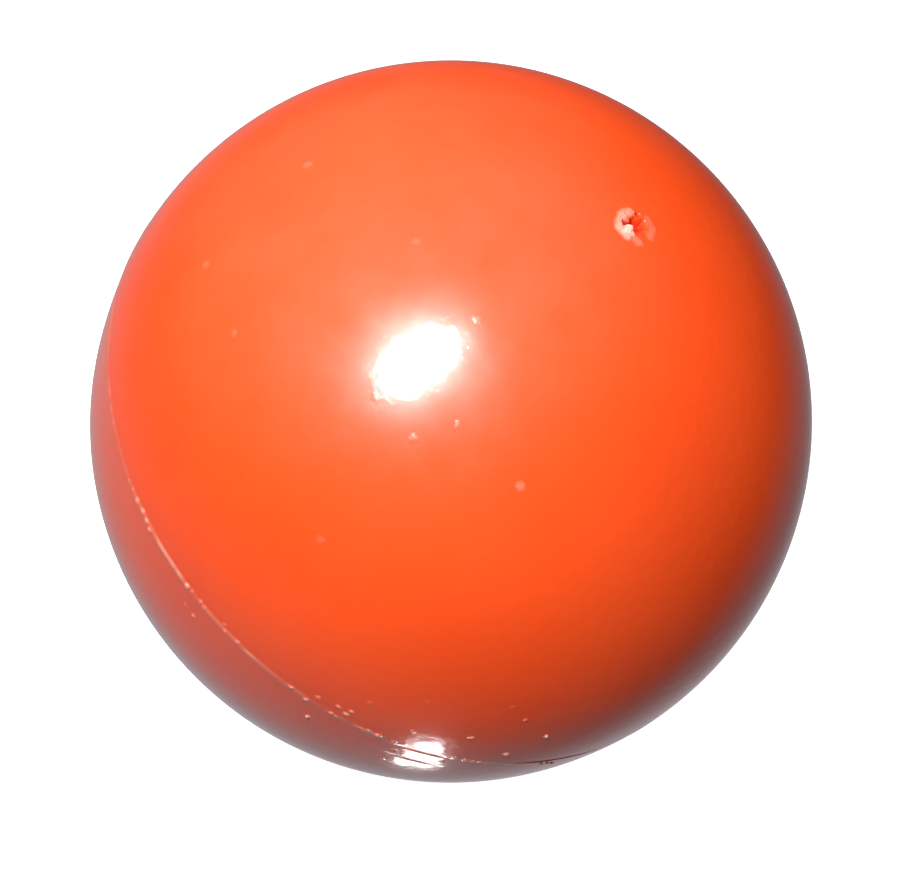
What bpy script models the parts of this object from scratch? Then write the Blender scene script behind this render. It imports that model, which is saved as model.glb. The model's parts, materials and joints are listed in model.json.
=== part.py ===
"""Small hollow game ball of glossy orange plastic.

A pair of half shells, each injected at its pole, is welded round the equator. The upper shell has a tongue
all round its rim, the lower shell has the groove that takes it, and a ring of melted and set plastic fills
the room between them. Outside, the ring ends in a trimmed bead that fills the chamfered seam. Inside, its
roll is left as it set.

Metres, +Z up. The origin is the centre of the ball, the seam lies in the XY plane, and +Z runs through the
pole of the upper half shell.
"""

import math

import bpy

# Ball
BALL_DIAMETER = 0.0381
WALL = 0.0018

# Tongue of the upper shell, which the groove of the lower shell follows
TONGUE_WIDTH = 0.0009
TONGUE_LENGTH = 0.0014
TONGUE_DRAFT = 0.00006
TONGUE_TIP_CHAMFER = 0.00015

# Rim that carries the joint: a step in from the inner wall, with solid plastic behind tongue and groove
RIM_STEP = 0.0017
TONGUE_ROOT = 0.0012
GROOVE_FLOOR = 0.0010
SEAM_CHAMFER = 0.0003

# Weld: the film between the shells, its clearance on each side, the outer bead and the inner roll
WELD_FILM = 0.0003
WELD_CLEARANCE = 0.0001
BEAD_CROWN = 0.00012
ROLL_RADIUS = 0.00045

# Gate: the torn crater at each pole, with a raised lip, a pit and the stub left in it
LIP_FOOT_DIAMETER = 0.0020
LIP_CREST_DIAMETER = 0.0013
LIP_HEIGHT = 0.00016
PIT_MOUTH_DIAMETER = 0.0009
PIT_FLOOR_DIAMETER = 0.0007
PIT_DEPTH = 0.0007
STUB_DIAMETER = 0.0003
STUB_HEIGHT = 0.0002

# Finish
SHELL_COLOUR = (0.87, 0.084, 0.012, 1.0)
WELD_COLOUR = (0.90, 0.26, 0.14, 1.0)
SHELL_ROUGHNESS = 0.16
WELD_ROUGHNESS = 0.35

# Facets
TURN_STEPS = 60
OUTER_STEPS = 15
INNER_STEPS = 12
LIP_STEPS = 4
CROWN_STEPS = 4
ROLL_STEPS = 8
SHARP_ANGLE = math.radians(30)

# Sizes that follow from the ones above
BALL_RADIUS = BALL_DIAMETER / 2
INNER_RADIUS = BALL_RADIUS - WALL
RIM_INNER_RADIUS = INNER_RADIUS - RIM_STEP
TONGUE_RADIUS = (BALL_RADIUS + RIM_INNER_RADIUS) / 2
HALF_JOINT = WELD_FILM / 2 + WELD_CLEARANCE


def clear_scene():
    for old in list(bpy.data.objects):
        bpy.data.objects.remove(old, do_unlink=True)


def glossy_plastic(name, colour, roughness):
    material = bpy.data.materials.new(name)
    material.use_nodes = True
    shader = material.node_tree.nodes["Principled BSDF"]
    shader.inputs["Base Color"].default_value = colour
    shader.inputs["Roughness"].default_value = roughness
    shader.inputs["Metallic"].default_value = 0.0
    return material


def sphere_height(radius):
    """Height of the ball's surface at a distance from the polar axis."""
    return math.sqrt(BALL_RADIUS ** 2 - radius ** 2)


def polar_arc(radius, start, end, steps):
    """Points (distance from the axis, height) on a circle about the centre, by angle from the pole."""
    angles = [start + (end - start) * step / steps for step in range(steps + 1)]
    return [(radius * math.sin(angle), radius * math.cos(angle)) for angle in angles]


def gate_crater():
    """Crater from the polar axis out to the foot of its lip: stub, pit, crest and outer flank."""
    pole = BALL_RADIUS
    floor = pole - PIT_DEPTH
    foot = LIP_FOOT_DIAMETER / 2
    crest = LIP_CREST_DIAMETER / 2
    points = [
        (0.0, floor + STUB_HEIGHT),
        (STUB_DIAMETER / 2, floor),
        (PIT_FLOOR_DIAMETER / 2, floor),
        (PIT_MOUTH_DIAMETER / 2, pole),
    ]
    for step in range(LIP_STEPS):
        share = step / LIP_STEPS
        radius = crest + (foot - crest) * share
        rise = LIP_HEIGHT * (1 + math.cos(math.pi * share)) / 2
        points.append((radius, sphere_height(radius) + rise))
    return points


def joint_path(side):
    """Tongue outline from its outer root to its inner root, moved sideways off the middle of the weld film.

    A side above zero lies towards the tongue, and one below zero towards the groove.
    """
    tip = side - TONGUE_LENGTH
    root_half = TONGUE_WIDTH / 2 + HALF_JOINT - side
    tip_half = root_half - TONGUE_DRAFT
    half_outline = [
        (root_half, side),
        (tip_half, tip + TONGUE_TIP_CHAMFER),
        (tip_half - TONGUE_TIP_CHAMFER, tip),
    ]
    outer = [(TONGUE_RADIUS + half, height) for half, height in half_outline]
    inner = [(TONGUE_RADIUS - half, height) for half, height in reversed(half_outline)]
    return outer + inner


def rim_taper_end(band_top):
    """Where a 45 degree taper from the top of the rim's band meets the inner wall."""
    total = RIM_INNER_RADIUS + band_top
    room = INNER_RADIUS ** 2 - RIM_INNER_RADIUS ** 2 - band_top ** 2
    run = (math.sqrt(total ** 2 + 2 * room) - total) / 2
    return RIM_INNER_RADIUS + run


def half_shell_profile(joint, band_top):
    """Half shell with its pole up: crater, outer wall, rim with its joint, taper and inner wall."""
    outer_start = math.asin(LIP_FOOT_DIAMETER / 2 / BALL_RADIUS)
    outer_end = math.acos((HALF_JOINT + SEAM_CHAMFER) / BALL_RADIUS)
    inner_start = math.asin(rim_taper_end(band_top) / INNER_RADIUS)
    return [
        *gate_crater(),
        *polar_arc(BALL_RADIUS, outer_start, outer_end, OUTER_STEPS),
        (BALL_RADIUS - SEAM_CHAMFER, HALF_JOINT),
        *joint,
        (RIM_INNER_RADIUS, HALF_JOINT),
        (RIM_INNER_RADIUS, band_top),
        *polar_arc(INNER_RADIUS, inner_start, 0.0, INNER_STEPS),
    ]


def weld_ring_profile():
    """Section of the weld: outer bead, film along the groove, inner roll, film along the tongue."""
    film_half = WELD_FILM / 2
    flank_shift = WELD_CLEARANCE * (math.sqrt(2) - 1)
    bead_root = BALL_RADIUS - SEAM_CHAMFER + flank_shift
    bead_half = film_half + SEAM_CHAMFER - flank_shift
    crown = []
    for step in range(CROWN_STEPS + 1):
        share = 1 - 2 * step / CROWN_STEPS
        height = bead_half * share
        crown.append((sphere_height(height) + BEAD_CROWN * (1 - share ** 2), height))
    neck_angle = math.asin(film_half / ROLL_RADIUS)
    roll_centre = RIM_INNER_RADIUS - WELD_CLEARANCE - ROLL_RADIUS * math.cos(neck_angle)
    roll = []
    for step in range(ROLL_STEPS + 1):
        angle = -neck_angle - (2 * math.pi - 2 * neck_angle) * step / ROLL_STEPS
        roll.append((roll_centre + ROLL_RADIUS * math.cos(angle), ROLL_RADIUS * math.sin(angle)))
    groove_face = [(bead_root, -film_half), *joint_path(-film_half)]
    tongue_face = [(bead_root, film_half), *joint_path(film_half)]
    return [*crown, *groove_face, *roll, *reversed(tongue_face)]


def turned_piece(name, profile, colour, roughness, collection):
    """Turn a profile of (distance from the axis, height) points about Z, as one closed solid."""
    edges = [(index, index + 1) for index in range(len(profile) - 1)]
    if profile[0][0] > 0:
        edges.append((len(profile) - 1, 0))
    outline = bpy.data.meshes.new(name + "_profile")
    outline.from_pydata([(radius, 0.0, height) for radius, height in profile], edges, [])
    piece = bpy.data.objects.new(name, outline)
    collection.objects.link(piece)

    turn = piece.modifiers.new("turn", "SCREW")
    turn.axis = "Z"
    turn.angle = 2 * math.pi
    turn.steps = TURN_STEPS
    turn.render_steps = TURN_STEPS
    turn.use_merge_vertices = True
    turn.merge_threshold = 0.000001

    bpy.context.view_layer.update()
    evaluated = piece.evaluated_get(bpy.context.evaluated_depsgraph_get())
    solid = bpy.data.meshes.new_from_object(evaluated)
    piece.modifiers.clear()
    piece.data = solid
    bpy.data.meshes.remove(outline)
    solid.name = name
    solid.shade_smooth()
    solid.set_sharp_from_angle(angle=SHARP_ANGLE)
    solid.materials.append(glossy_plastic(name + "_plastic", colour, roughness))
    return piece


def build_ball():
    clear_scene()
    collection = bpy.data.collections.new("game_ball")
    bpy.context.scene.collection.children.link(collection)
    centre = bpy.data.objects.new("ball_centre", None)
    centre.empty_display_size = BALL_RADIUS
    collection.objects.link(centre)

    tongue = joint_path(HALF_JOINT)
    upper_profile = half_shell_profile(tongue, HALF_JOINT + TONGUE_ROOT)
    upper = turned_piece("upper_half_shell", upper_profile, SHELL_COLOUR, SHELL_ROUGHNESS, collection)

    # The lower shell is modelled pole up too, so its groove runs upwards, and is then turned over.
    groove = [(radius, -height) for radius, height in joint_path(-HALF_JOINT)]
    groove_band = HALF_JOINT + TONGUE_LENGTH + GROOVE_FLOOR
    lower_profile = half_shell_profile(groove, groove_band)
    lower = turned_piece("lower_half_shell", lower_profile, SHELL_COLOUR, SHELL_ROUGHNESS, collection)
    lower.rotation_euler = (math.pi, 0.0, 0.0)

    weld = turned_piece("weld_ring", weld_ring_profile(), WELD_COLOUR, WELD_ROUGHNESS, collection)

    for piece in (upper, lower, weld):
        piece.parent = centre


build_ball()
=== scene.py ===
# %% [markdown]
# # A small moulded game ball
# The real object is a hollow ball of glossy orange plastic. A pair of half shells was moulded, each
# filled through a gate at its pole, and then welded rim to rim. What the eye sees is a near
# mirror-smooth skin, one torn gate mark, and a thin ragged ridge of weld flash round the equator.
#
# The frame already holds the ball's solids at their real size. This lesson makes a finely shaped piece
# for each of them, gives the plastic its finish, and lights it with a small lamp beside the lens.

# %% Load the fixed frame
import json
import math
import random

import bmesh
import bpy
from mathutils import Matrix, Vector, kdtree, noise


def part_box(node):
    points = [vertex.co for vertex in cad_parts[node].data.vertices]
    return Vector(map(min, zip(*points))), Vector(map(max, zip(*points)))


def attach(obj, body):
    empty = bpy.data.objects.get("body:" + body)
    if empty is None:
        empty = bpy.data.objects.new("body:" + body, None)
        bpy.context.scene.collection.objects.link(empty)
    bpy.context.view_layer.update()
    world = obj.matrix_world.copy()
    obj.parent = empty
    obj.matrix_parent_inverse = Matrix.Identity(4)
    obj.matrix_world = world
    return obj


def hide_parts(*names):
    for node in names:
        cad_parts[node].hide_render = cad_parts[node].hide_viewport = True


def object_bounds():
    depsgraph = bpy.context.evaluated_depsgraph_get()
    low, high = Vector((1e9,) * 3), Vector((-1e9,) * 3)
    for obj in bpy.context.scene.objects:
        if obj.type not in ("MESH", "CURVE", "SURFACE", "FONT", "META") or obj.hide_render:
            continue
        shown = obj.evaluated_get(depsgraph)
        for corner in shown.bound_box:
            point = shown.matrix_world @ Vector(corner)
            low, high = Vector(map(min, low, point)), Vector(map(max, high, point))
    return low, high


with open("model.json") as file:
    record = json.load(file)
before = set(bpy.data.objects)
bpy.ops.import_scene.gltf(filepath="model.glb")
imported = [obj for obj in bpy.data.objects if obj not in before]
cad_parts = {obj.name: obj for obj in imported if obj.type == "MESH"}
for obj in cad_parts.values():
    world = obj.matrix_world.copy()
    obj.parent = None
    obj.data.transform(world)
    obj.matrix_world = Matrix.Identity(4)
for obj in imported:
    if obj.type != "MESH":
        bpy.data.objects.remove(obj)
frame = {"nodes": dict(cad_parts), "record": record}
cad_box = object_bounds()
print("nodes:", sorted(frame["nodes"]))

# %% [markdown]
# ## Sizes
# Few sizes drive everything. The ball's radius is the height of its contact point below the centre, and
# the joint's levels are read from the boxes of the solids, so the new pieces fall exactly where the
# solids are. The rest are the thicknesses and steps of the moulding, in millimetres on the drawing and
# metres here.

# %% Read the sizes of the ball
MM = 0.001
BALL_RADIUS = -frame["record"]["mounts"][0]["pos_m"][2]
WALL = 1.8 * MM
RIM_STEP = 1.7 * MM
TONGUE_WIDTH = 0.9 * MM
TONGUE_DRAFT = 0.06 * MM
TIP_CHAMFER = 0.15 * MM
SEAM_CHAMFER = 0.3 * MM
TONGUE_ROOT = 1.2 * MM
GROOVE_FLOOR = 1.0 * MM

INNER_RADIUS = BALL_RADIUS - WALL
RIM_INNER_RADIUS = INNER_RADIUS - RIM_STEP
TONGUE_RADIUS = (BALL_RADIUS + RIM_INNER_RADIUS) / 2
HALF_JOINT = -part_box("lower_half_shell")[1].z
TONGUE_LENGTH = HALF_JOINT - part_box("upper_half_shell")[0].z
SEAM_EDGE = HALF_JOINT + SEAM_CHAMFER
print(f"ball radius {BALL_RADIUS / MM:.2f} mm, tongue {TONGUE_LENGTH / MM:.2f} mm long")

# %% [markdown]
# ## Camera
# The outline of a ball is a circle at any distance, so the circle alone can't place the camera. The
# weld line can: it is a great circle, and the way it bends says how the ball is tilted, and how near
# the lens stands. The camera is aimed at the centre of the ball, so that the outline stays a true
# circle, and a small shift of the film puts it where the photograph has it.

# %% Place the camera
PHOTO_WIDTH = 900
PHOTO_HEIGHT = 877
BALL_CENTRE_PIXEL = (450.8, 421.45)
BALL_RADIUS_PIXELS = 361.4
CAMERA_DISTANCE = 5.37 * BALL_RADIUS
POLE_TILT = math.radians(40.14)
CAMERA_ROLL = math.radians(43.05)
FILM_WIDTH = 36.0
NEAREST_SEEN = BALL_RADIUS / 10

focal_pixels = BALL_RADIUS_PIXELS * math.sqrt((CAMERA_DISTANCE / BALL_RADIUS) ** 2 - 1)
camera_turn = Matrix.Rotation(POLE_TILT, 3, "X") @ Matrix.Rotation(CAMERA_ROLL, 3, "Z")
image_right, image_up, to_camera = camera_turn.transposed()
camera_place = to_camera * CAMERA_DISTANCE

lens = bpy.data.cameras.new("lens")
lens.sensor_width = FILM_WIDTH
lens.lens = focal_pixels / PHOTO_WIDTH * FILM_WIDTH
lens.shift_x = (PHOTO_WIDTH / 2 - BALL_CENTRE_PIXEL[0]) / PHOTO_WIDTH
lens.shift_y = (BALL_CENTRE_PIXEL[1] - PHOTO_HEIGHT / 2) / PHOTO_WIDTH
lens.clip_start = NEAREST_SEEN
camera = bpy.data.objects.new("camera", lens)
bpy.context.scene.collection.objects.link(camera)
camera.matrix_world = Matrix.Translation(camera_place) @ camera_turn.to_4x4()
bpy.context.scene.camera = camera
print(f"camera {CAMERA_DISTANCE / MM:.0f} mm from the centre, lens {lens.lens:.1f} mm")


# %% Find the point of the ball behind a pixel
GATE_PIXEL = (633, 226)


def on_ball(pixel):
    """Where the camera's ray through a pixel of the photograph first meets the ball."""
    across = pixel[0] - BALL_CENTRE_PIXEL[0]
    down = pixel[1] - BALL_CENTRE_PIXEL[1]
    ray = (image_right * across - image_up * down - to_camera * focal_pixels).normalized()
    along = -camera_place.dot(ray)
    nearest_squared = camera_place.length_squared - along ** 2
    return camera_place + ray * (along - math.sqrt(BALL_RADIUS ** 2 - nearest_squared))


print("the gate is seen at", [round(value / MM, 2) for value in on_ball(GATE_PIXEL)], "mm")

# %% [markdown]
# ## Drawing a section and spinning it
# Everything on this ball is round about its polar axis, so each piece is half of its cross-section,
# spun about that axis. A sphere cut in half would do for the outside, but the section also gives the
# tongue, the groove and the inner wall, and it puts fine rings only where they are needed: at the gate
# and at the seam. The section starts as a circle that is cut down to a quarter, and its end is extruded
# from corner to corner.

# %% Helpers for drawing by hand
SPIN_STEPS = 256
ARC_POINTS = 480
TINY = 1e-6
SMOOTH_ANGLE = math.radians(35)


def start_circle(name, points, radius):
    """Adds a circle that stands in the XZ plane and opens it in edit mode, with nothing else selected."""
    bpy.ops.object.select_all(action="DESELECT")
    bpy.ops.mesh.primitive_circle_add(vertices=points, radius=radius, rotation=(math.pi / 2, 0, 0))
    bpy.ops.object.transform_apply(rotation=True)
    piece = bpy.context.object
    piece.name = name
    piece.data.name = name
    bpy.ops.object.mode_set(mode="EDIT")
    return piece


def keep_side(place, normal):
    """Cuts the mesh along a plane and keeps the side that the normal points to."""
    bpy.ops.mesh.select_all(action="SELECT")
    bpy.ops.mesh.bisect(plane_co=place, plane_no=normal, clear_inner=True, threshold=TINY)


def select_where(piece, wanted, kind="verts"):
    """In edit mode, selects only the vertices, edges or faces whose middle passes the test."""
    bpy.ops.mesh.select_all(action="DESELECT")
    drawing = bmesh.from_edit_mesh(piece.data)
    for element in getattr(drawing, kind):
        if kind == "verts":
            middle = element.co
        else:
            middle = sum((vertex.co for vertex in element.verts), Vector()) / len(element.verts)
        if wanted(middle):
            element.select_set(True)
    bmesh.update_edit_mesh(piece.data)


def extrude_through(start, corners):
    """Extrudes the one selected vertex from corner to corner, each (distance from the axis, height)."""
    here = start
    for corner in corners:
        step = (corner[0] - here[0], 0, corner[1] - here[1])
        bpy.ops.mesh.extrude_region_move(TRANSFORM_OT_translate={"value": step})
        here = corner


def spin_section(steps):
    """Spins the drawn section all the way round Z, closes it and leaves edit mode."""
    bpy.ops.mesh.select_all(action="SELECT")
    bpy.ops.mesh.spin(steps=steps, angle=2 * math.pi, center=(0, 0, 0), axis=(0, 0, 1))
    bpy.ops.mesh.select_all(action="SELECT")
    bpy.ops.mesh.remove_doubles(threshold=TINY)
    bpy.ops.mesh.normals_make_consistent(inside=False)
    bpy.ops.object.mode_set(mode="OBJECT")
    bpy.ops.object.shade_smooth_by_angle(angle=SMOOTH_ANGLE)


def arc(radius, start, end, steps):
    """Points on a circle about the centre, by angle from the pole, without the first one."""
    angles = [start + (end - start) * step / steps for step in range(1, steps + 1)]
    return [(radius * math.sin(angle), radius * math.cos(angle)) for angle in angles]


print(f"shells are spun in {SPIN_STEPS} steps, one every {360 / SPIN_STEPS:.1f} degrees")

# %% [markdown]
# ## The tongue and groove
# Nobody sees the joint on a finished ball, but it is what holds the ball together: the upper rim
# carries a tongue and the lower rim a groove round it, with the melted film between them. One outline
# serves both, moved sideways off the middle of the film.

# %% Outline of the joint
def joint_outline(side):
    """Tongue outline from its outer root to its inner root. Above zero, side lies towards the tongue."""
    tip = side - TONGUE_LENGTH
    root_half = TONGUE_WIDTH / 2 + HALF_JOINT - side
    tip_half = root_half - TONGUE_DRAFT
    halves = [
        (root_half, side),
        (tip_half, tip + TIP_CHAMFER),
        (tip_half - TIP_CHAMFER, tip),
    ]
    outer = [(TONGUE_RADIUS + half, height) for half, height in halves]
    inner = [(TONGUE_RADIUS - half, height) for half, height in reversed(halves)]
    return outer + inner


print("joint outline has", len(joint_outline(HALF_JOINT)), "corners")

# %% [markdown]
# ## The half shells
# Each shell starts as the ball's own circle, cut down to the quarter between pole and seam. Its rings
# are subdivided near the pole, where the gate will be torn, and near the seam. From the seam edge the
# section runs down the chamfer, round the tongue or the groove, up the thick rim and back along the
# inner wall to the axis. The lower shell is the same drawing with its heights turned over.

# %% Draw and spin a half shell
GATE_REACH = 1.5 * MM
GATE_CUTS = 10
SEAM_REACH = 2.4 * MM
SEAM_CUTS = 4
INNER_ARC_STEPS = 60


def inner_wall(band_top):
    """Rim band, a 45 degree taper from its top, and the inner wall up to the axis."""
    total = RIM_INNER_RADIUS + band_top
    room = INNER_RADIUS ** 2 - RIM_INNER_RADIUS ** 2 - band_top ** 2
    run = (math.sqrt(total ** 2 + 2 * room) - total) / 2
    taper_end = (RIM_INNER_RADIUS + run, band_top + run)
    start = math.asin(taper_end[0] / INNER_RADIUS)
    return [
        (RIM_INNER_RADIUS, HALF_JOINT),
        (RIM_INNER_RADIUS, band_top),
        taper_end,
        *arc(INNER_RADIUS, start, 0.0, INNER_ARC_STEPS),
    ]


def half_shell(name, side, joint, band_top):
    """A half shell with its pole up (side 1) or down (side -1). The joint's corners are given pole up."""
    piece = start_circle(name, ARC_POINTS, BALL_RADIUS)
    keep_side((0, 0, side * SEAM_EDGE), (0, 0, side))
    keep_side((0, 0, 0), (1, 0, 0))

    select_where(piece, lambda middle: middle.x < GATE_REACH, "edges")
    bpy.ops.mesh.subdivide(number_cuts=GATE_CUTS)
    select_where(piece, lambda middle: abs(middle.z) < SEAM_REACH, "edges")
    bpy.ops.mesh.subdivide(number_cuts=SEAM_CUTS)

    rim = (math.sqrt(BALL_RADIUS ** 2 - SEAM_EDGE ** 2), side * SEAM_EDGE)
    select_where(piece, lambda middle: abs(middle.z) < SEAM_EDGE + TINY)
    corners = [(BALL_RADIUS - SEAM_CHAMFER, HALF_JOINT), *joint, *inner_wall(band_top)]
    extrude_through(rim, [(radius, side * height) for radius, height in corners])
    spin_section(SPIN_STEPS)
    print(name, "has", len(piece.data.polygons), "faces")
    return piece


tongue = joint_outline(HALF_JOINT)
upper_shell = half_shell("upper_shell", 1, tongue, HALF_JOINT + TONGUE_ROOT)

groove = [(radius, -height) for radius, height in joint_outline(-HALF_JOINT)]
groove_band = HALF_JOINT + TONGUE_LENGTH + GROOVE_FLOOR
lower_shell = half_shell("lower_shell", -1, groove, groove_band)

# %% [markdown]
# ## The weld
# Between the shells lies the plastic that melted and set again: a thin film down one side of the tongue
# and up the other, a round roll inside the ball, and outside a bead that fills the chamfered seam. Its
# section is a closed loop, so the last corner is joined to the first before the spin. It gets many more
# steps than the shells, because the ragged flash on it is fine.

# %% Draw and spin the weld
WELD_FILM = 0.3 * MM
WELD_CLEARANCE = 0.1 * MM
ROLL_RADIUS = 0.45 * MM
ROLL_STEPS = 12
CROWN_STEPS = 26
CROWN_CLEARANCE = 0.002 * MM
CROWN_EDGE = SEAM_EDGE - CROWN_CLEARANCE
WELD_SPIN_STEPS = 1080


def weld_corners():
    """Corners of the weld's section: crown from top to bottom, groove side, inner roll, tongue side."""
    film = WELD_FILM / 2
    bead_root = BALL_RADIUS - SEAM_CHAMFER
    crown = []
    for step in range(CROWN_STEPS + 1):
        height = CROWN_EDGE * (1 - 2 * step / CROWN_STEPS)
        crown.append((math.sqrt(BALL_RADIUS ** 2 - height ** 2), height))
    neck = math.asin(film / ROLL_RADIUS)
    roll_centre = RIM_INNER_RADIUS - WELD_CLEARANCE - ROLL_RADIUS * math.cos(neck)
    roll = []
    for step in range(ROLL_STEPS + 1):
        angle = -neck - 2 * (math.pi - neck) * step / ROLL_STEPS
        roll.append((roll_centre + ROLL_RADIUS * math.cos(angle), ROLL_RADIUS * math.sin(angle)))
    groove_side = [(bead_root, -film), *joint_outline(-film)]
    tongue_side = [(bead_root, film), *joint_outline(film)]
    return [*crown, *groove_side, *roll, *reversed(tongue_side)]


def weld_ring(name):
    """The weld, from one point of its crown extruded round its section and spun."""
    corners = weld_corners()
    piece = start_circle(name, ARC_POINTS, BALL_RADIUS)
    select_where(piece, lambda middle: middle.x < BALL_RADIUS - TINY)
    bpy.ops.mesh.delete(type="VERT")
    select_where(piece, lambda middle: True)
    first = corners[0]
    bpy.ops.transform.translate(value=(first[0] - BALL_RADIUS, 0, first[1]))
    extrude_through(first, corners[1:])
    last = Vector((corners[-1][0], 0, corners[-1][1]))
    start = Vector((first[0], 0, first[1]))
    select_where(piece, lambda middle: min((middle - last).length, (middle - start).length) < TINY)
    bpy.ops.mesh.edge_face_add()
    spin_section(WELD_SPIN_STEPS)
    print(name, "has", len(piece.data.polygons), "faces")
    return piece


weld_seam = weld_ring("weld_seam")

# %% [markdown]
# ## Marks in the skin
# The marks that tell how the ball was made are a few tenths of a millimetre, far too irregular to spin.
# A sculptor would push and pull the skin with a brush, and that is what this does: every vertex of the
# outer skin is moved along the line from the centre by what the marks there add up to. The same stroke
# paints two attributes for the finish. One is paleness, where the plastic was stretched until it
# whitened, and on the brightest pips and nibs it is partly a painted glint. The other is tearing, which
# rises to 1 in a tear, painted deep red as painted shade, and to 2 in its deepest cracks, painted near
# black as painted shade.

# %% A brush for the outer skin
SKIN_DEPTH = 0.1 * MM
# Without a seed of its own, Blender's vector noise is seeded by the clock and differs in every run
NOISE_SEED = 11
noise.seed_set(NOISE_SEED)


def soft_step(value):
    """0 at and below 0, 1 at and above 1, smooth between."""
    share = min(max(value, 0.0), 1.0)
    return share * share * (3 - 2 * share)


def stroke_reach(place, start, end, half_width, firm):
    """How strongly a stroke is felt: 1 on its line, 0 past its half width. A firm one has a flat top."""
    run = end - start
    along = min(max((place - start).dot(run) / max(run.length_squared, TINY ** 2), 0.0), 1.0)
    distance = (place - start - run * along).length
    return soft_step(firm * (1 - distance / half_width))


def sculpt(piece, touch):
    """Moves each skin vertex outwards by what touch says for its place, and paints its paleness, partly
    painted glint, and its tearing, partly painted shade.
    """
    mesh = piece.data
    pale_and_glint = [0.0] * len(mesh.vertices)
    torn_and_shade = [0.0] * len(mesh.vertices)
    moved = 0
    for index, vertex in enumerate(mesh.vertices):
        if vertex.co.length > BALL_RADIUS - SKIN_DEPTH:
            lift, pale_and_glint[index], torn_and_shade[index] = touch(vertex.co.copy())
            vertex.co += vertex.co.normalized() * lift
            moved += lift != 0.0
    # The tearing attribute also carries painted shade, and the paleness attribute painted glints
    mesh.attributes.new("pale_and_glint", "FLOAT", "POINT").data.foreach_set("value", pale_and_glint)
    mesh.attributes.new("torn_and_shade", "FLOAT", "POINT").data.foreach_set("value", torn_and_shade)
    print(piece.name, "had", moved, "vertices moved")


print(f"the brush reaches skin down to {SKIN_DEPTH / MM:.1f} mm below the ball's surface")

# %% [markdown]
# ## The torn gate
# When the cold runner was snapped off, it tore a crater of about 1.6 mm out of the pole. A tongue of
# plastic is left bent over the pit, whitened where it stretched, with a dark slit round its edge, and
# pale broken lips stand round the far side. The pit is painted deep red and the slit near black, as
# painted shade. Each of these is one stroke, with its place in millimetres from the pole. Noise bends
# the strokes, so that no edge is smooth.

# %% Strokes of the gate
# Start, end, half width and height in millimetres, and whiteness of each torn lip
GATE_LIPS = [
    ((-0.55, 0.62), (-0.72, 0.20), 0.34, 0.05, 0.40),
    ((-0.72, 0.10), (-0.52, -0.50), 0.38, 0.07, 0.50),
    ((-0.42, -0.62), (0.08, -0.66), 0.38, 0.07, 0.62),
    ((-0.02, -0.50), (-0.14, -0.12), 0.34, 0.12, 1.0),
    ((-0.13, -0.68), (0.14, -0.44), 0.30, 0.07, 0.80),
    ((0.44, -0.51), (0.72, -0.50), 0.32, 0.04, 0.20),
    ((0.95, 0.31), (0.80, 0.80), 0.30, 0.03, 0.14),
    ((0.76, 0.86), (0.30, 1.10), 0.30, 0.03, 0.10),
]
# Start, end, half width and depth in millimetres, and painted shade of each part of the pit and its slit
GATE_PITS = [
    ((-0.42, -0.22), (-0.25, -0.08), 0.16, 0.80, 1.0),
    ((-0.25, -0.08), (-0.10, 0.12), 0.15, 0.80, 0.75),
    ((-0.10, 0.12), (0.36, -0.16), 0.15, 0.75, 0.50),
    ((-0.02, 0.30), (0.20, 0.50), 0.38, 0.45, 0.0),
    ((0.20, 0.20), (0.46, 0.22), 0.26, 0.30, 0.0),
    ((-0.25, 0.75), (-0.20, 0.85), 0.13, 0.15, 0.0),
]
print("gate:", len(GATE_LIPS), "lips and", len(GATE_PITS), "pits")

# %% Tear the gate
# How soon a stroke comes to its full strength inside its edge: softly on a lip, firmly in a cut
SOFT_EDGE = 1.25
FIRM_EDGE = 1.6
# How soon the painted shade of the slit comes to its full strength inside its edge
SLIT_SHADE_EDGE = 1.8
TEAR_GRAIN = 0.28 * MM
TEAR_WANDER = 0.07 * MM
TEAR_ROUGHNESS = 0.025 * MM
# The grain of torn faces is this many times finer than that of the wander
ROUGH_FINENESS = 2
# A lip this white or whiter is rough all over
ROUGH_FROM_WHITE = 0.5


def flat_point(pair):
    """A point of the gate's drawing, given in millimetres from the pole."""
    return Vector((*pair, 0)) * MM


def gate_touch(place, turn, seed):
    """Lift, paleness and tearing near a pole, for a mark that is turned about the axis and tears by its own
    seed; the tearing carries painted shade in the pit and slit.
    """
    flat = Vector((place.x, place.y, 0))
    if flat.length > GATE_REACH:
        return 0.0, 0.0, 0.0
    grain = flat / TEAR_GRAIN + Vector((0, 0, seed))
    flat += noise.noise_vector(grain) * TEAR_WANDER
    flat = Matrix.Rotation(turn, 3, "Z") @ flat
    flat.z = 0
    lip = 0.0
    white = 0.0
    for start, end, half_width, height, pale_and_glint in GATE_LIPS:
        reach = stroke_reach(flat, flat_point(start), flat_point(end), half_width * MM, SOFT_EDGE)
        lip = max(lip, reach * height * MM)
        white = max(white, reach * pale_and_glint)
    cut = 0.0
    torn_and_shade = 0.0
    slit_shade = 0.0
    for start, end, half_width, depth, painted_dark in GATE_PITS:
        reach = stroke_reach(flat, flat_point(start), flat_point(end), half_width * MM, FIRM_EDGE)
        cut = max(cut, reach * depth * MM)
        torn_and_shade = max(torn_and_shade, reach)
        # Painted shade in the slit, added on top of the tearing so that its deepest part is painted near
        # black
        slit_shade = max(slit_shade, soft_step(SLIT_SHADE_EDGE * reach) * painted_dark)
    broken = max(torn_and_shade, min(white / ROUGH_FROM_WHITE, 1.0))
    rough = noise.noise(grain * ROUGH_FINENESS) * TEAR_ROUGHNESS * broken
    return lip * (1 - torn_and_shade) - cut + rough, white * (1 - torn_and_shade), max(torn_and_shade, slit_shade) + slit_shade


print(f"the strokes of a gate wander by up to {TEAR_WANDER / MM:.2f} mm")
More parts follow.
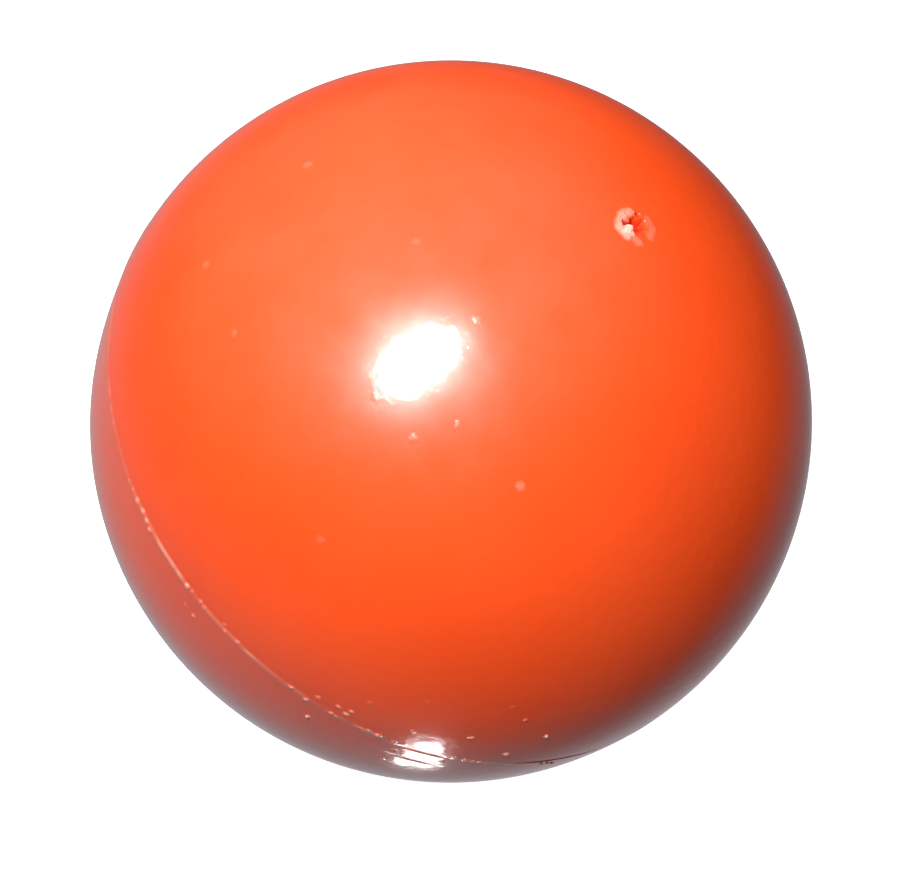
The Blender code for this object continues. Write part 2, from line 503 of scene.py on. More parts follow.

# %% [markdown]
# ## Pips in the skin
# Fine grit in the mould leaves tiny pips, some flat and pale, some round enough to catch the lamp. The
# whiteness of the brightest ones is partly a painted glint.
# Those that the photograph shows are placed by the pixel where they are seen, cast on to the ball by
# the camera's own ray. The skin's facets are too wide for them, so the faces round each pip are
# subdivided first. On the side that the photograph doesn't show, a few more are scattered with a fixed
# seed.

# %% List the pips that the photograph shows
# Pixel where it is seen, radius and height in millimetres, and whiteness of each pip, which on the
# brightest ones is partly a painted glint
SEEN_PIPS = [
    ((520.5, 486.5), 0.30, 0.02, 0.18), ((458, 424.5), 0.24, 0.016, 0.15),
    ((413.5, 438), 0.28, 0.016, 0.11), ((320.5, 539.5), 0.26, 0.012, 0.08),
    ((307.5, 164.5), 0.32, 0.018, 0.11), ((206, 264), 0.30, 0.014, 0.10),
    ((234, 333), 0.24, 0.012, 0.09), ((416, 241), 0.28, 0.012, 0.08),
    ((374.5, 397), 0.22, 0.012, 0.18), ((477, 319), 0.28, 0.014, 0.18),
    ((471.5, 737.5), 0.18, 0.08, 0.60), ((546, 736), 0.17, 0.12, 1.0),
    ((526, 719.5), 0.18, 0.06, 0.25), ((506, 753.5), 0.18, 0.10, 0.90),
    ((307, 717.5), 0.17, 0.10, 0.90), ((192.5, 616.5), 0.18, 0.06, 0.45),
    ((184.3, 605), 0.14, 0.05, 0.35), ((413, 731), 0.19, 0.05, 0.30),
    ((369.5, 702.5), 0.20, 0.03, 0.10), ((441.5, 762), 0.15, 0.08, 0.90),
    ((381, 760), 0.14, 0.06, 0.60), ((393, 749.8), 0.15, 0.06, 0.60),
    ((427.6, 701.8), 0.18, 0.02, 0.08), ((512.4, 707), 0.15, 0.02, 0.10),
    ((541, 763.8), 0.16, 0.08, 0.90), ((547, 763.4), 0.13, 0.07, 0.80),
    ((552, 763), 0.14, 0.07, 0.90), ((338.7, 706.5), 0.20, 0.05, 0.45),
    ((346, 714), 0.24, 0.06, 0.65), ((351.5, 711.5), 0.20, 0.06, 0.55),
    ((318, 697.5), 0.22, 0.05, 0.35),
]
print(len(SEEN_PIPS), "pips are seen")

# %% Scatter a few more on the hidden side
HIDDEN_PIPS = 16
# How far up and down the ball they lie, as a share of its radius
HIDDEN_PIP_RISE = 0.9
HIDDEN_PIP_RADIUS = 0.2 * MM
# Least and greatest height in millimetres, and least and greatest whiteness
HIDDEN_PIP_HEIGHT = (0.02, 0.08)
HIDDEN_PIP_PALE = (0.1, 0.4)
SCATTER_SEED = 11

scatter = random.Random(SCATTER_SEED)
pips = [(on_ball(pixel), radius * MM, height * MM, pale_and_glint) for pixel, radius, height, pale_and_glint in SEEN_PIPS]
while len(pips) < len(SEEN_PIPS) + HIDDEN_PIPS:
    rise = scatter.uniform(-HIDDEN_PIP_RISE, HIDDEN_PIP_RISE)
    azimuth = scatter.uniform(0, 2 * math.pi)
    flat = math.sqrt(1 - rise ** 2)
    place = Vector((flat * math.cos(azimuth), flat * math.sin(azimuth), rise)) * BALL_RADIUS
    if place.dot(to_camera) < 0:
        height = scatter.uniform(*HIDDEN_PIP_HEIGHT) * MM
        pips.append((place, HIDDEN_PIP_RADIUS, height, scatter.uniform(*HIDDEN_PIP_PALE)))
print("with the hidden ones there are", len(pips))

# %% Refine the skin round the pips
PIP_REFINE = 0.45 * MM
PIP_CUTS = 7


def finder(places):
    """A search tree that finds the nearest of the places."""
    tree = kdtree.KDTree(len(places))
    for index, place in enumerate(places):
        tree.insert(place, index)
    tree.balance()
    return tree


def refine_near(piece, distance_to, reach, cuts):
    """Subdivides the faces of a piece that lie nearer than reach."""
    bpy.ops.object.select_all(action="DESELECT")
    piece.select_set(True)
    bpy.context.view_layer.objects.active = piece
    bpy.ops.object.mode_set(mode="EDIT")
    select_where(piece, lambda middle: distance_to(middle) < reach, "faces")
    bpy.ops.mesh.subdivide(number_cuts=cuts)
    bpy.ops.object.mode_set(mode="OBJECT")
    print(piece.name, "now has", len(piece.data.polygons), "faces")


pip_finder = finder([pip[0] for pip in pips])
for shell in (upper_shell, lower_shell):
    refine_near(shell, lambda middle: pip_finder.find(middle)[2], PIP_REFINE, PIP_CUTS)

# %% Shape a pip
SPECK_GRAIN = 0.15 * MM
SPECK_WANDER = 0.08 * MM
# A pip whitens faster from its edge than it rises
PIP_PALE_EDGE = 1.5


def ragged(place):
    """The place, moved a little by noise, which gives a round mark an uneven edge."""
    return place + noise.noise_vector(place / SPECK_GRAIN) * SPECK_WANDER


def pip_touch(place):
    """Lift, and whiteness with its painted glint, of the nearest pip."""
    index, distance = pip_finder.find(ragged(place))[1:]
    radius, height, pale_and_glint = pips[index][1:]
    inward = 1 - distance / radius
    return height * soft_step(inward), pale_and_glint * soft_step(PIP_PALE_EDGE * inward)


print(f"the edge of a pip wanders by up to {SPECK_WANDER / MM:.2f} mm")

# %% [markdown]
# ## Sink mark and witness line
# The rim of the lower shell is thicker than its wall, so it shrank more as it cooled and drew the skin
# in, by less than a tenth of a millimetre, and more on one side than on the other. On a glossy ball
# that is enough to break the reflections at the seam. Just below it, the tool that trimmed the flash
# left a short fine line.

# %% Shape the sink mark and the witness line
SINK_DEPTH = 0.09 * MM
SINK_WIDTH = 7.0 * MM
# One over the highest value of share * (1 - share) ** 2, the section of the mark
SINK_PEAK = 27 / 4
SINK_AZIMUTH = math.radians(-115)
SINK_LEAST = 0.25
# Cosine, measured from its middle, where the mark starts to deepen, and how much more until it is full
SINK_START = 0.3
SINK_RISE = 0.5
WITNESS_HEIGHT = -1.62 * MM
WITNESS_HALF_WIDTH = 0.24 * MM
WITNESS_DEPTH = 0.05 * MM
WITNESS_AZIMUTH = math.radians(-58.3)
WITNESS_LENGTH = math.radians(2.6)
# How much the witness line counts as a tear: that dulls it and paints it a little darker as painted shade
WITNESS_TORN_AND_SHADE = 0.13


def azimuth_of(place):
    """Angle round the polar axis."""
    return math.atan2(place.y, place.x)


def sink(place):
    """Depth of the sink mark below the seam: steep at the flash, then fading, and weak on the far side."""
    share = -place.z / SINK_WIDTH
    if not 0 < share < 1:
        return 0.0
    facing = math.cos(azimuth_of(place) - SINK_AZIMUTH)
    strength = SINK_LEAST + (1 - SINK_LEAST) * soft_step((facing - SINK_START) / SINK_RISE)
    return SINK_DEPTH * strength * SINK_PEAK * share * (1 - share) ** 2


def witness(place):
    """How strong the witness line is, which fades out at both ends."""
    across = soft_step(1 - abs(place.z - WITNESS_HEIGHT) / WITNESS_HALF_WIDTH)
    along = soft_step(2 - abs(azimuth_of(place) - WITNESS_AZIMUTH) / WITNESS_LENGTH)
    return across * along


print(f"sink mark up to {SINK_DEPTH / MM:.2f} mm deep, witness line {WITNESS_DEPTH / MM:.2f} mm")

# %% Sculpt both shells
# Turn about the axis in radians, and seed, of the tear at each gate
UPPER_TEAR = (0.0, 1.7)
LOWER_TEAR = (2.1, 8.3)


def upper_touch(place):
    """Lift, paleness with painted glints, and tearing with painted shade on the upper shell: gate and pips.
    """
    lift, pale_and_glint, torn_and_shade = gate_touch(place, *UPPER_TEAR)
    pip_lift, pip_pale_and_glint = pip_touch(place)
    return lift + pip_lift, pale_and_glint + pip_pale_and_glint, torn_and_shade


def lower_touch(place):
    """Lift, paleness with painted glints, and tearing with painted shade on the lower shell: gate, pips,
    sink mark and witness line.
    """
    lift, pale_and_glint, torn_and_shade = gate_touch(place, *LOWER_TEAR)
    pip_lift, pip_pale_and_glint = pip_touch(place)
    line = witness(place)
    lift = lift + pip_lift - sink(place) - WITNESS_DEPTH * line
    return lift, pale_and_glint + pip_pale_and_glint, max(torn_and_shade, WITNESS_TORN_AND_SHADE * line)


sculpt(upper_shell, upper_touch)
sculpt(lower_shell, lower_touch)

# %% [markdown]
# ## Weld flash
# Where the halves were pressed together, melted plastic squeezed out and was trimmed. What is left is a
# ragged ridge, about half a millimetre wide, that wanders along the bead, breaks off in places and ends
# in pale nibs, whose whiteness on the brightest is partly a painted glint. Here and there a crease is
# open beside it, where the melt of one shell folded against the other's, and it is painted darker as
# painted shade.

# %% List what stands out along the seam
# Azimuth and half length in degrees, and strength, of each stretch where more of the flash was left
STRETCHES = [
    (-106.3, 6, 1.0), (-94, 8, 0.4), (-87.6, 3, 0.7), (-80, 3, 0.5), (-68, 3.2, 0.9), (-50, 3, 0.5),
]
# Azimuth and half length in degrees, height and half width in millimetres, and rawness of each open
# fold, which also paints it darker as painted shade
CREASES = [
    (-58.5, 6, -0.28, 0.20, 0.13), (-37, 7, -0.18, 0.13, 1.2), (60, 12, 0.2, 0.1, 0.6),
    (150, 9, 0.3, 0.1, 0.6),
]
# Pixel where it is seen, half width in millimetres and strength of each nib that stands out; the
# whiteness that the strength gives is partly a painted glint
SEEN_NIBS = [
    ((128.8, 481), 0.14, 0.4), ((133.4, 490), 0.14, 0.5), ((137.4, 500.4), 0.20, 0.9),
    ((143, 511), 0.20, 1.0), ((147, 520.8), 0.19, 0.9), ((149.5, 529.5), 0.20, 0.8),
    ((187.2, 585.5), 0.20, 1.3), ((192.4, 591.6), 0.16, 0.5), ((200.6, 601.8), 0.17, 0.6),
    ((204.7, 608), 0.20, 0.5), ((224.6, 624.6), 0.12, 0.5), ((225, 631.4), 0.16, 0.6),
    ((237.3, 642.7), 0.22, 0.6), ((291.4, 687.6), 0.20, 0.8), ((305.7, 699.8), 0.20, 1.0),
    ((331, 713), 0.18, 0.8), ((335.5, 716.5), 0.18, 0.7), ((361, 728), 0.14, 0.7),
    ((368.4, 730.5), 0.16, 0.8), ((377, 735), 0.20, 1.1), ((393, 741.6), 0.16, 0.7),
    ((403, 743.5), 0.14, 0.5), ((449, 757.5), 0.14, 0.9), ((455, 757), 0.14, 0.9),
    ((466, 760), 0.16, 0.9), ((472, 761), 0.16, 0.9), ((480, 762), 0.14, 0.7),
]
print(len(STRETCHES), "stretches of flash,", len(CREASES), "open folds and", len(SEEN_NIBS), "nibs")

# %% Find the line of the ridge
RIDGE_WANDER = 0.33 * MM
RIDGE_PHASE = math.radians(78)
RIDGE_SHIVER = 0.06 * MM
SHIVER_GRAIN = 1.6 * MM


def ridge_line(azimuth):
    """Height at which the ridge runs: one slow wave round the ball, and a fine shiver."""
    around = Vector((math.cos(azimuth), math.sin(azimuth), 0)) * BALL_RADIUS
    return RIDGE_SHIVER * noise.noise(around / SHIVER_GRAIN) - RIDGE_WANDER * math.sin(azimuth + RIDGE_PHASE)


print(f"the ridge wanders by {RIDGE_WANDER / MM:.2f} mm to either side")

# %% Place the nibs and refine the weld round them
HIDDEN_NIBS = 30
# Azimuth in degrees where the part of the seam that the photograph doesn't show starts and ends
HIDDEN_SEAM = (-12, 192)
# How far a hidden nib lies off the ridge and how wide half of it is, in millimetres, and how strong it is
HIDDEN_NIB_DRIFT = (-0.12, 0.12)
HIDDEN_NIB_HALF_WIDTH = (0.12, 0.2)
HIDDEN_NIB_STRENGTH = (0.4, 1.0)
NIB_DRAW = 0.75
NIB_REFINE = 0.25 * MM
NIB_CUTS = 1


def drawn_out(place):
    """The place in a space where a nib is round: on the ball it is drawn out across the seam."""
    return Vector((place.x, place.y, place.z * NIB_DRAW))


nibs = [(on_ball(pixel), half_width * MM, strength) for pixel, half_width, strength in SEEN_NIBS]
for _ in range(HIDDEN_NIBS):
    azimuth = math.radians(scatter.uniform(*HIDDEN_SEAM))
    rise = ridge_line(azimuth) + scatter.uniform(*HIDDEN_NIB_DRIFT) * MM
    place = Vector((BALL_RADIUS * math.cos(azimuth), BALL_RADIUS * math.sin(azimuth), rise))
    half_width = scatter.uniform(*HIDDEN_NIB_HALF_WIDTH) * MM
    nibs.append((place, half_width, scatter.uniform(*HIDDEN_NIB_STRENGTH)))

nib_finder = finder([drawn_out(nib[0]) for nib in nibs])
refine_near(weld_seam, lambda middle: nib_finder.find(drawn_out(middle))[2], NIB_REFINE, NIB_CUTS)

# %% Say how much of the flash is left
# Outside the stretches, the flash was trimmed to less than half, in patches
PATCH_LEFT = 0.45
PATCH_SIZE = 3.0 * MM
PATCH_SEED = Vector((0, 0, 4.1))
PATCH_MIDDLE = 0.5
PATCH_SPREAD = 1.2
# All of its crest is chipped
CHIP_SIZE = 0.5 * MM
CHIP_SEED = Vector((0, 0, 9.6))
CHIP_MIDDLE = 0.75
CHIP_SPREAD = 0.6
# How soon a stretch of flash, or an open fold, comes to its full strength from its ends
END_EDGE = 1.5


def flash_left(place):
    """How much of the flash is left along the seam: little in most places, more in the stretches."""
    around = Vector((place.x, place.y, 0))
    patch = noise.noise(around / PATCH_SIZE + PATCH_SEED)
    left = PATCH_LEFT * soft_step(PATCH_MIDDLE + PATCH_SPREAD * patch)
    degrees = math.degrees(azimuth_of(place))
    for azimuth, half_length, strength in STRETCHES:
        left = max(left, strength * soft_step(END_EDGE * (1 - abs(degrees - azimuth) / half_length)))
    chip = noise.noise(around / CHIP_SIZE + CHIP_SEED)
    return left * (CHIP_MIDDLE + CHIP_SPREAD * chip)


print(f"outside the stretches, at most {PATCH_LEFT:.0%} of the flash is left")

# %% Open the folds
CREASE_DEPTH = 0.04 * MM
CREASE_EDGE = 1.4


def open_fold(place):
    """How far open a fold is at a place, and how much it counts as a tear, which paints painted shade in it.
    """
    degrees = math.degrees(azimuth_of(place))
    crease = 0.0
    torn_and_shade = 0.0
    for azimuth, half_length, height, half_width, raw_and_shade in CREASES:
        along = soft_step(END_EDGE * (1 - abs(degrees - azimuth) / half_length))
        across = soft_step(CREASE_EDGE * (1 - abs(place.z - height * MM) / (half_width * MM)))
        crease = max(crease, along * across)
        # The fold counts as a tear, which paints painted shade in it
        torn_and_shade = max(torn_and_shade, raw_and_shade * along * across)
    return crease, torn_and_shade


print(f"folds are {CREASE_DEPTH / MM:.2f} mm deep")

# %% Sculpt the weld
RIDGE_HEIGHT = 0.03 * MM
RIDGE_HALF_WIDTH = 0.27 * MM
RIDGE_EDGE = 1.2
RIDGE_PALE = 0.68
NIB_HEIGHT = 0.07 * MM
NIB_EDGE = 1.2
# Whiteness of a nib, which on the brightest ones is partly a painted glint
NIB_PALE_AND_GLINT = 0.62
NIB_PALE_EDGE = 1.8


def flash_touch(place):
    """Lift, paleness and tearing of the ridge, its nibs and the open folds: painted glints on the nibs,
    painted shade in the folds.
    """
    line = ridge_line(azimuth_of(place))
    ridge = soft_step(RIDGE_EDGE * (1 - abs(place.z - line) / RIDGE_HALF_WIDTH)) * flash_left(place)
    index, distance = nib_finder.find(drawn_out(ragged(place)))[1:]
    half_width, strength = nibs[index][1:]
    inward = 1 - distance / half_width
    pip_lift, pip_pale_and_glint = pip_touch(place)
    crease, torn_and_shade = open_fold(place)
    lift = max(RIDGE_HEIGHT * ridge, NIB_HEIGHT * strength * soft_step(NIB_EDGE * inward), pip_lift)
    pale_and_glint = max(RIDGE_PALE * ridge, NIB_PALE_AND_GLINT * strength * soft_step(NIB_PALE_EDGE * inward), pip_pale_and_glint)
    return lift - CREASE_DEPTH * crease - sink(place), min(pale_and_glint, 1.0) * (1 - crease), torn_and_shade


sculpt(weld_seam, flash_touch)

# %% [markdown]
# ## Finishes
# The ball is moulded in a styrene plastic that is coloured all through. Polished steel gave it a gloss
# skin with a faint orange peel, so its lamp spot has a white core with a ragged edge and a wide soft
# halo. Where the plastic was torn or stretched, fine cracks scatter the light and it turns pale and
# dull. Two lobes make that gloss: a sharp one for the moulded skin, and a broad, weaker one in the coat
# layer for the haze that handling leaves on it, in smudges. A tear is also painted deep red and its
# deepest cracks near black, as painted shade, and the whiteness of the brightest pips and nibs is partly
# a painted glint. Each property of the skin is a short function that adds its nodes and hands back the
# last socket.

# %% Helpers for materials
def colour(code):
    """Linear colour from an sRGB hex code."""
    parts = [int(code[index:index + 2], 16) / 255 for index in (1, 3, 5)]
    linear = [part / 12.92 if part <= 0.04045 else ((part + 0.055) / 1.055) ** 2.4 for part in parts]
    return (*linear, 1.0)


def add_node(tree, kind, inputs=None, **settings):
    """Adds a node with its settings. An input takes a value, or another node's output to link.

    In a Mix node, input 0 is the share, 2 and 3 are the numbers to mix, and 6 and 7 the colours.
    """
    node = tree.nodes.new(kind)
    for name, value in settings.items():
        setattr(node, name, value)
    for socket, value in (inputs or {}).items():
        if isinstance(value, bpy.types.NodeSocket):
            tree.links.new(value, node.inputs[socket])
        else:
            node.inputs[socket].default_value = value
    return node


def per_metre(size_mm):
    """Texture scale for a pattern of this size."""
    return 1 / (size_mm * MM)


print("helpers ready; mid grey is", [round(value, 3) for value in colour("#808080")])

# %% Colour of the plastic
MOTTLE_SIZE = 6.0
MOTTLE_DETAIL = 4.0
# Whiteness of strained plastic, which on the brightest pips and nibs also stands for a painted glint
STRAINED_AND_GLINT = "#FFC4B0"
# Deep red painted shade inside a tear, which sees only its own red walls
TORN_SHADE = "#E02A06"
# Near black painted shade in the deepest cracks, from which little light comes back
CRACK_SHADE = "#2A0400"


def skin_colour(tree, place, pale_and_glint, torn_and_shade, deep, light):
    """Colour of the skin, mixed layer by layer.

    Pigment is never mixed quite evenly, which gives soft clouds a few millimetres across. Stretched
    plastic whitens, and the whiteness of the brightest pips and nibs is partly a painted glint. The inside
    of a tear sees only its own red walls, so it is painted deep red as painted shade, and the deepest
    cracks, from which little light comes back, are painted near black as painted shade.
    """
    cloudy = {"Vector": place, "Scale": per_metre(MOTTLE_SIZE), "Detail": MOTTLE_DETAIL}
    cloud = add_node(tree, "ShaderNodeTexNoise", cloudy).outputs[0]
    # Past 1, the tearing value is the near black painted shade of the deepest cracks
    past_tear_shade = {0: torn_and_shade, 1: 1.0}
    crack_shade = add_node(tree, "ShaderNodeMath", past_tear_shade, operation="SUBTRACT", use_clamp=True).outputs[0]
    skin = colour(deep)
    # The last two layers are painted shade: deep red in a tear and near black in its deepest cracks
    for share, layer in ((cloud, light), (pale_and_glint, STRAINED_AND_GLINT), (torn_and_shade, TORN_SHADE), (crack_shade, CRACK_SHADE)):
        mix = {0: share, 6: skin, 7: colour(layer)}
        skin = add_node(tree, "ShaderNodeMix", mix, data_type="RGBA").outputs[2]
    return skin


print("strained plastic is", STRAINED_AND_GLINT, "and a torn face", TORN_SHADE)

# %% Gloss of the plastic
# A mark is dull long before it is fully white, and a tear as soon as it is more than a scratch
PALE_GAIN = 6.0
TEAR_GAIN = 8.0
TEAR_START = -0.6
TORN_ROUGHNESS = 0.6


def damage_share(tree, pale_and_glint, torn_and_shade):
    """0 on sound skin, 1 where the plastic is strained or ripped and has lost its polish."""
    tearing = {0: torn_and_shade, 1: TEAR_GAIN, 2: TEAR_START}
    tear = add_node(tree, "ShaderNodeMath", tearing, operation="MULTIPLY_ADD").outputs[0]
    straining = {0: pale_and_glint, 1: PALE_GAIN, 2: tear}
    damage = add_node(tree, "ShaderNodeMath", straining, operation="MULTIPLY_ADD", use_clamp=True)
    return damage.outputs[0]


def skin_roughness(tree, scuff, damage, roughness):
    """Handling dulls the polish unevenly, and damaged plastic has none."""
    dulled = add_node(tree, "ShaderNodeMapRange", {0: scuff, 3: roughness[0], 4: roughness[1]}).outputs[0]
    return add_node(tree, "ShaderNodeMix", {0: damage, 2: dulled, 3: TORN_ROUGHNESS}).outputs[0]


print("sound skin turns into torn skin of roughness", TORN_ROUGHNESS)

# %% Haze on the plastic
HAZE = 1.0
HAZE_AT_EDGE = 0.11
# Facing of the Layer Weight node where the haze starts and ends to clear
HAZE_CLEARS = (0.15, 0.55)
# Share of the haze that is left where it was wiped
HAZE_WIPED = 0.55
# Values of the scuff noise below which the haze was wiped, and above which it is whole
WIPED_BELOW = 0.35
SMUDGED_ABOVE = 0.65


def skin_haze(tree, scuff, damage):
    """Smudges of haze. At a glancing angle fine scratches look shallower, so it clears towards the edge."""
    sound = add_node(tree, "ShaderNodeMath", {0: 1.0, 1: damage}, operation="SUBTRACT").outputs[0]
    glance = add_node(tree, "ShaderNodeLayerWeight").outputs["Facing"]
    clear = {0: glance, 1: HAZE_CLEARS[0], 2: HAZE_CLEARS[1], 3: HAZE, 4: HAZE_AT_EDGE}
    veil = add_node(tree, "ShaderNodeMapRange", clear, interpolation_type="SMOOTHSTEP").outputs[0]
    wiping = {0: scuff, 1: WIPED_BELOW, 2: SMUDGED_ABOVE, 3: HAZE_WIPED}
    wiped = add_node(tree, "ShaderNodeMapRange", wiping).outputs[0]
    smudge = add_node(tree, "ShaderNodeMath", {0: veil, 1: wiped}, operation="MULTIPLY").outputs[0]
    return add_node(tree, "ShaderNodeMath", {0: sound, 1: smudge}, operation="MULTIPLY").outputs[0]


print(f"haze of {HAZE:.2f} seen straight on, {HAZE_AT_EDGE:.2f} at the edge")

# %% Moulded plastic
# Orange peel: low swells about half a millimetre wide that break up the edge of a reflection
PEEL_SIZE = 0.6
PEEL_DEPTH = 0.018 * MM
PEEL_DETAIL = 4.0
SCUFF_SIZE = 3.0
SCUFF_DETAIL = 5.0
PLASTIC_IOR = 1.5
SKIN_SPECULAR = 0.42
# The coat stands for the haze, and its high IOR makes the halo round the lamp spot as bright as it is
HAZE_ROUGHNESS = 0.32
HAZE_IOR = 1.7


def moulded_plastic(name, deep, light, roughness):
    """Gloss styrene, coloured through, with orange peel in its skin, whitened where strained, painted glints
    on pips and nibs, and painted shade in tears and their cracks.
    """
    material = bpy.data.materials.new(name)
    material.use_nodes = True
    tree = material.node_tree
    place = add_node(tree, "ShaderNodeTexCoord").outputs["Object"]
    # Paleness, partly painted glints, and tearing, partly painted shade, as the sculpting painted them
    pale_and_glint = add_node(tree, "ShaderNodeAttribute", attribute_name="pale_and_glint").outputs["Fac"]
    torn_and_shade = add_node(tree, "ShaderNodeAttribute", attribute_name="torn_and_shade").outputs["Fac"]
    damage = damage_share(tree, pale_and_glint, torn_and_shade)
    scuffed = {"Vector": place, "Scale": per_metre(SCUFF_SIZE), "Detail": SCUFF_DETAIL}
    scuff = add_node(tree, "ShaderNodeTexNoise", scuffed).outputs[0]
    peeled = {"Vector": place, "Scale": per_metre(PEEL_SIZE), "Detail": PEEL_DETAIL}
    peel = add_node(tree, "ShaderNodeTexNoise", peeled).outputs[0]
    swell = add_node(tree, "ShaderNodeBump", {"Height": peel, "Distance": PEEL_DEPTH}).outputs[0]

    shader = tree.nodes["Principled BSDF"]
    tree.links.new(skin_colour(tree, place, pale_and_glint, torn_and_shade, deep, light), shader.inputs["Base Color"])
    tree.links.new(skin_roughness(tree, scuff, damage, roughness), shader.inputs["Roughness"])
    tree.links.new(skin_haze(tree, scuff, damage), shader.inputs["Coat Weight"])
    tree.links.new(swell, shader.inputs["Normal"])
    shader.inputs["IOR"].default_value = PLASTIC_IOR
    shader.inputs["Specular IOR Level"].default_value = SKIN_SPECULAR
    shader.inputs["Coat Roughness"].default_value = HAZE_ROUGHNESS
    shader.inputs["Coat IOR"].default_value = HAZE_IOR
    return material


# Deep and light pigment, and roughness where the polish is best and worst
shell_plastic = moulded_plastic("gloss_moulded_styrene", "#F34A16", "#FF561D", (0.08, 0.15))
weld_plastic = moulded_plastic("set_weld_styrene", "#F24B17", "#FC571F", (0.09, 0.18))
print("made", shell_plastic.name, "and", weld_plastic.name)

# %% [markdown]
# ## Hand the pieces to the frame
# Each piece stands for one solid, which it hides, takes its finish, and rides on the ball's only body.

# %% Dress the frame
for piece, node, slot, finish in (
    (upper_shell, "upper_half_shell", "shell_plastic", shell_plastic),
    (lower_shell, "lower_half_shell", "shell_plastic", shell_plastic),
    (weld_seam, "weld_ring", "weld_plastic", weld_plastic),
):
    piece.data.materials.append(finish)
    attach(piece, "root")
    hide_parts(node)
    print(piece.name, "replaces", node)

# %% [markdown]
# ## Floor
# A plain sheet of pale paper under the ball. It glows a little, so that it stays near white in the
# picture and the shadow on it stays faint. It doesn't show in the ball or light it: the surroundings
# below do that.

# %% Lay the floor
FLOOR_SIZE = 60 * BALL_RADIUS
FLOOR_GLOW = 0.97
PAPER = "#F4F4F2"
PAPER_ROUGHNESS = 0.9

bpy.ops.object.select_all(action="DESELECT")
bpy.ops.mesh.primitive_plane_add(size=FLOOR_SIZE, location=(0, 0, cad_box[0].z))
floor = bpy.context.object
floor.name = "pale_floor"
paper = bpy.data.materials.new("matt_white_paper")
paper.use_nodes = True
paper_shader = paper.node_tree.nodes["Principled BSDF"]
paper_shader.inputs["Base Color"].default_value = colour(PAPER)
paper_shader.inputs["Roughness"].default_value = PAPER_ROUGHNESS
paper_shader.inputs["Emission Color"].default_value = colour("#FFFFFF")
paper_shader.inputs["Emission Strength"].default_value = FLOOR_GLOW
floor.data.materials.append(paper)
floor.visible_glossy = False
floor.visible_diffuse = False
floor.visible_shadow = False
print(f"floor at {cad_box[0].z / MM:.2f} mm")

# %% [markdown]
# ## Lamps
# The picture was lit by a small lamp just above and to the left of the lens. It stands so near that the
# ball falls off into shade towards its far edges, which a distant lamp wouldn't give. A bright patch
# near the bottom is the mirror image of another lamp, so that one is placed by reflecting the camera's
# ray there. A large dim lamp behind the ball brightens only the upper edge in the picture, but it shows
# the far side to anyone who walks round, and a much weaker one keeps the shaded side from going black.

# %% A flat lamp
def flat_lamp(name, shape, place, target, along, size, power):
    """A flat lamp that faces a target, with its first side along a direction."""
    lamp_data = bpy.data.lights.new(name, "AREA")
    lamp_data.shape = shape
    lamp_data.size, lamp_data.size_y = size
    lamp_data.energy = power
    lamp = bpy.data.objects.new(name, lamp_data)
    bpy.context.scene.collection.objects.link(lamp)
    back = (place - target).normalized()
    side = (along - back * along.dot(back)).normalized()
    turn = Matrix((side, back.cross(side), back)).transposed().to_4x4()
    lamp.matrix_world = Matrix.Translation(place) @ turn
    print(name, "at", [round(value / MM) for value in place], "mm")
    return lamp


def in_picture(angle):
    """Direction in the plane of the picture, by its angle from the picture's right."""
    return image_right * math.cos(angle) + image_up * math.sin(angle)


print("the picture's right is", [round(value, 2) for value in in_picture(0)])

# %% Set the lamp beside the lens
KEY_BESIDE_LENS = (-0.84 * BALL_RADIUS, 1.55 * BALL_RADIUS)
KEY_SIZE = (2.45 * BALL_RADIUS, 1.25 * BALL_RADIUS)
KEY_SLANT = math.radians(35)
KEY_POWER = 0.149

centre = Vector()
key_place = camera_place + image_right * KEY_BESIDE_LENS[0] + image_up * KEY_BESIDE_LENS[1]
flat_lamp("key_lamp", "ELLIPSE", key_place, centre, in_picture(KEY_SLANT), KEY_SIZE, KEY_POWER)

# %% Set the lamp that is mirrored low on the ball
GLINT_PIXEL = (422, 755)
GLINT_DISTANCE = 4 * BALL_RADIUS
GLINT_SIZE = (0.42 * BALL_RADIUS, 1.6 * BALL_RADIUS)
GLINT_SLANT = math.radians(7)
GLINT_POWER = 0.0095

glint = on_ball(GLINT_PIXEL)
sight = (glint - camera_place).normalized()
glint_place = glint + sight.reflect(glint.normalized()) * GLINT_DISTANCE
glint_along = in_picture(GLINT_SLANT)
low_lamp = flat_lamp("low_lamp", "RECTANGLE", glint_place, glint, glint_along, GLINT_SIZE, GLINT_POWER)
low_lamp.visible_diffuse = False

# %% Set the dim lamps
DIM_DISTANCE = 12 * BALL_RADIUS
# Angle from straight behind the ball and angle in the picture, both in degrees, size and power
DIM_LAMPS = {
    "fill_lamp": (58, 108, (21 * BALL_RADIUS, 6 * BALL_RADIUS), 0.66),
    "shade_lamp": (70, -55, (8 * BALL_RADIUS, 8 * BALL_RADIUS), 0.05),
}

for name, (swing, clock, size, power) in DIM_LAMPS.items():
    edge = in_picture(math.radians(clock))
    place = edge * math.sin(math.radians(swing)) - to_camera * math.cos(math.radians(swing))
    dim_lamp = flat_lamp(name, "ELLIPSE", place * DIM_DISTANCE, centre, image_right, size, power)
    dim_lamp.visible_glossy = False

# %% [markdown]
# ## Surroundings
# A glossy ball shows the room at its edges. Here the room is a pale table below that darkens towards
# the horizon, with an unlit room above. That gradient is seen only in reflections. Two soft patches are
# seen in reflections and light the ball as well: a broad one high on the picture's left, like a window,
# and a weak one low behind the ball. The camera itself sees white.

# %% Build the room
# Height of a direction above the horizon in degrees, and how bright the room is there
ROOM_BANDS = [
    (-90, 0.62), (-70, 0.54), (-55, 0.43), (-40, 0.24), (-25, 0.08), (-10, 0.04), (5, 0.02),
    (90, 0.02),
]
AMBIENT = 0.05

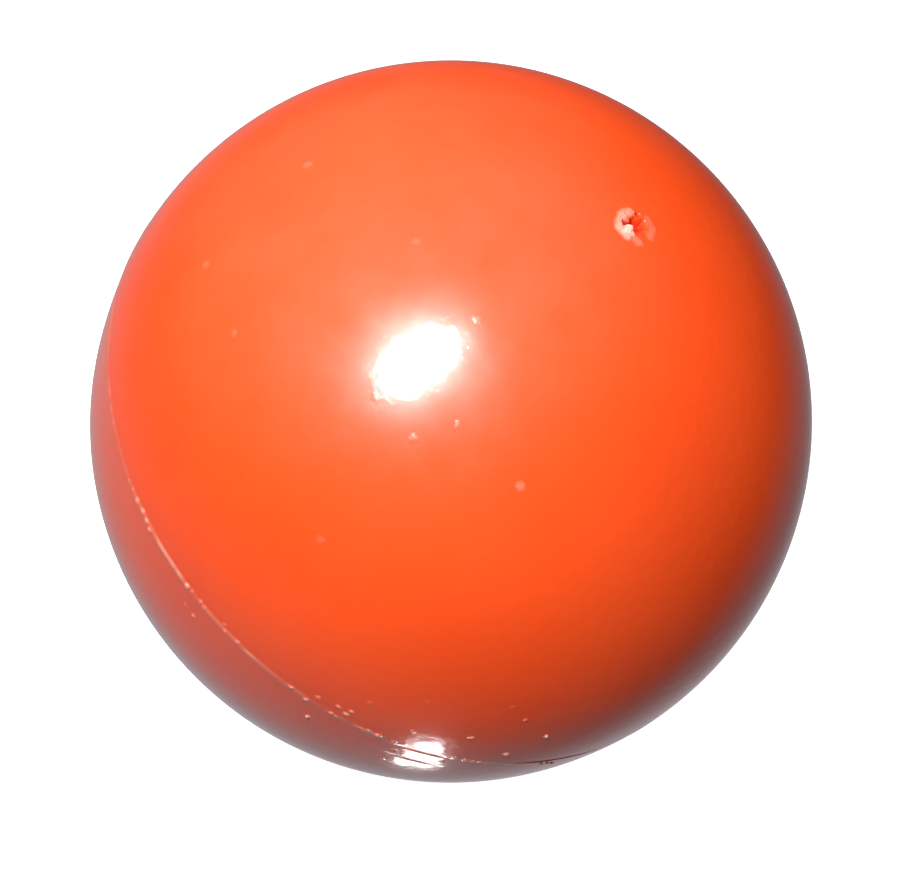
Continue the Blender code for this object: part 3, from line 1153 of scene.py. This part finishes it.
world = bpy.data.worlds.new("plain_studio")
bpy.context.scene.world = world
world.use_nodes = True
tree = world.node_tree
direction = add_node(tree, "ShaderNodeTexCoord").outputs["Generated"]
ray = add_node(tree, "ShaderNodeLightPath").outputs
height = add_node(tree, "ShaderNodeSeparateXYZ", {0: direction}).outputs["Z"]
share = add_node(tree, "ShaderNodeMapRange", {0: height, 1: -1.0, 2: 1.0})
room = add_node(tree, "ShaderNodeValToRGB", {0: share.outputs[0]})
stops = room.color_ramp.elements
while len(stops) < len(ROOM_BANDS):
    stops.new(0.5)
for stop, (angle, bright) in zip(stops, ROOM_BANDS):
    stop.position = (math.sin(math.radians(angle)) + 1) / 2
    stop.color = (bright, bright, bright, 1.0)
glow = add_node(tree, "ShaderNodeMix", {0: ray["Is Glossy Ray"], 2: AMBIENT, 3: room.outputs[0]}).outputs[0]

print("room has", len(stops), "bands of brightness")

# %% Add the soft patches and tint the light
# Azimuth and height of each patch, how far from its middle it starts and ends to fade, and its brightness
SOFT_PATCHES = [(180, 45, 10, 80, 0.55), (54, -33, 5, 36, 0.18)]
ROOM_TINT = "#F7F7FF"

for azimuth, rise, full, end, bright in SOFT_PATCHES:
    turn = Matrix.Rotation(math.radians(azimuth), 3, "Z") @ Matrix.Rotation(-math.radians(rise), 3, "Y")
    middle = turn @ Vector((1, 0, 0))
    facing = add_node(tree, "ShaderNodeVectorMath", {0: direction, 1: middle}, operation="DOT_PRODUCT")
    fade = {
        0: facing.outputs["Value"],
        1: math.cos(math.radians(end)),
        2: math.cos(math.radians(full)),
        4: bright,
    }
    patch = add_node(tree, "ShaderNodeMapRange", fade, interpolation_type="SMOOTHSTEP").outputs[0]
    glow = add_node(tree, "ShaderNodeMath", {0: glow, 1: patch}, operation="ADD").outputs[0]

tinted = {0: colour(ROOM_TINT)[:3], "Scale": glow}
light = add_node(tree, "ShaderNodeVectorMath", tinted, operation="SCALE").outputs[0]
seen = {0: ray["Is Camera Ray"], 6: light, 7: colour("#FFFFFF")}
shown = add_node(tree, "ShaderNodeMix", seen, data_type="RGBA").outputs[2]
tree.links.new(shown, tree.nodes["Background"].inputs["Color"])
bpy.context.scene.view_settings.view_transform = "Standard"
print(len(SOFT_PATCHES), "soft patches added")
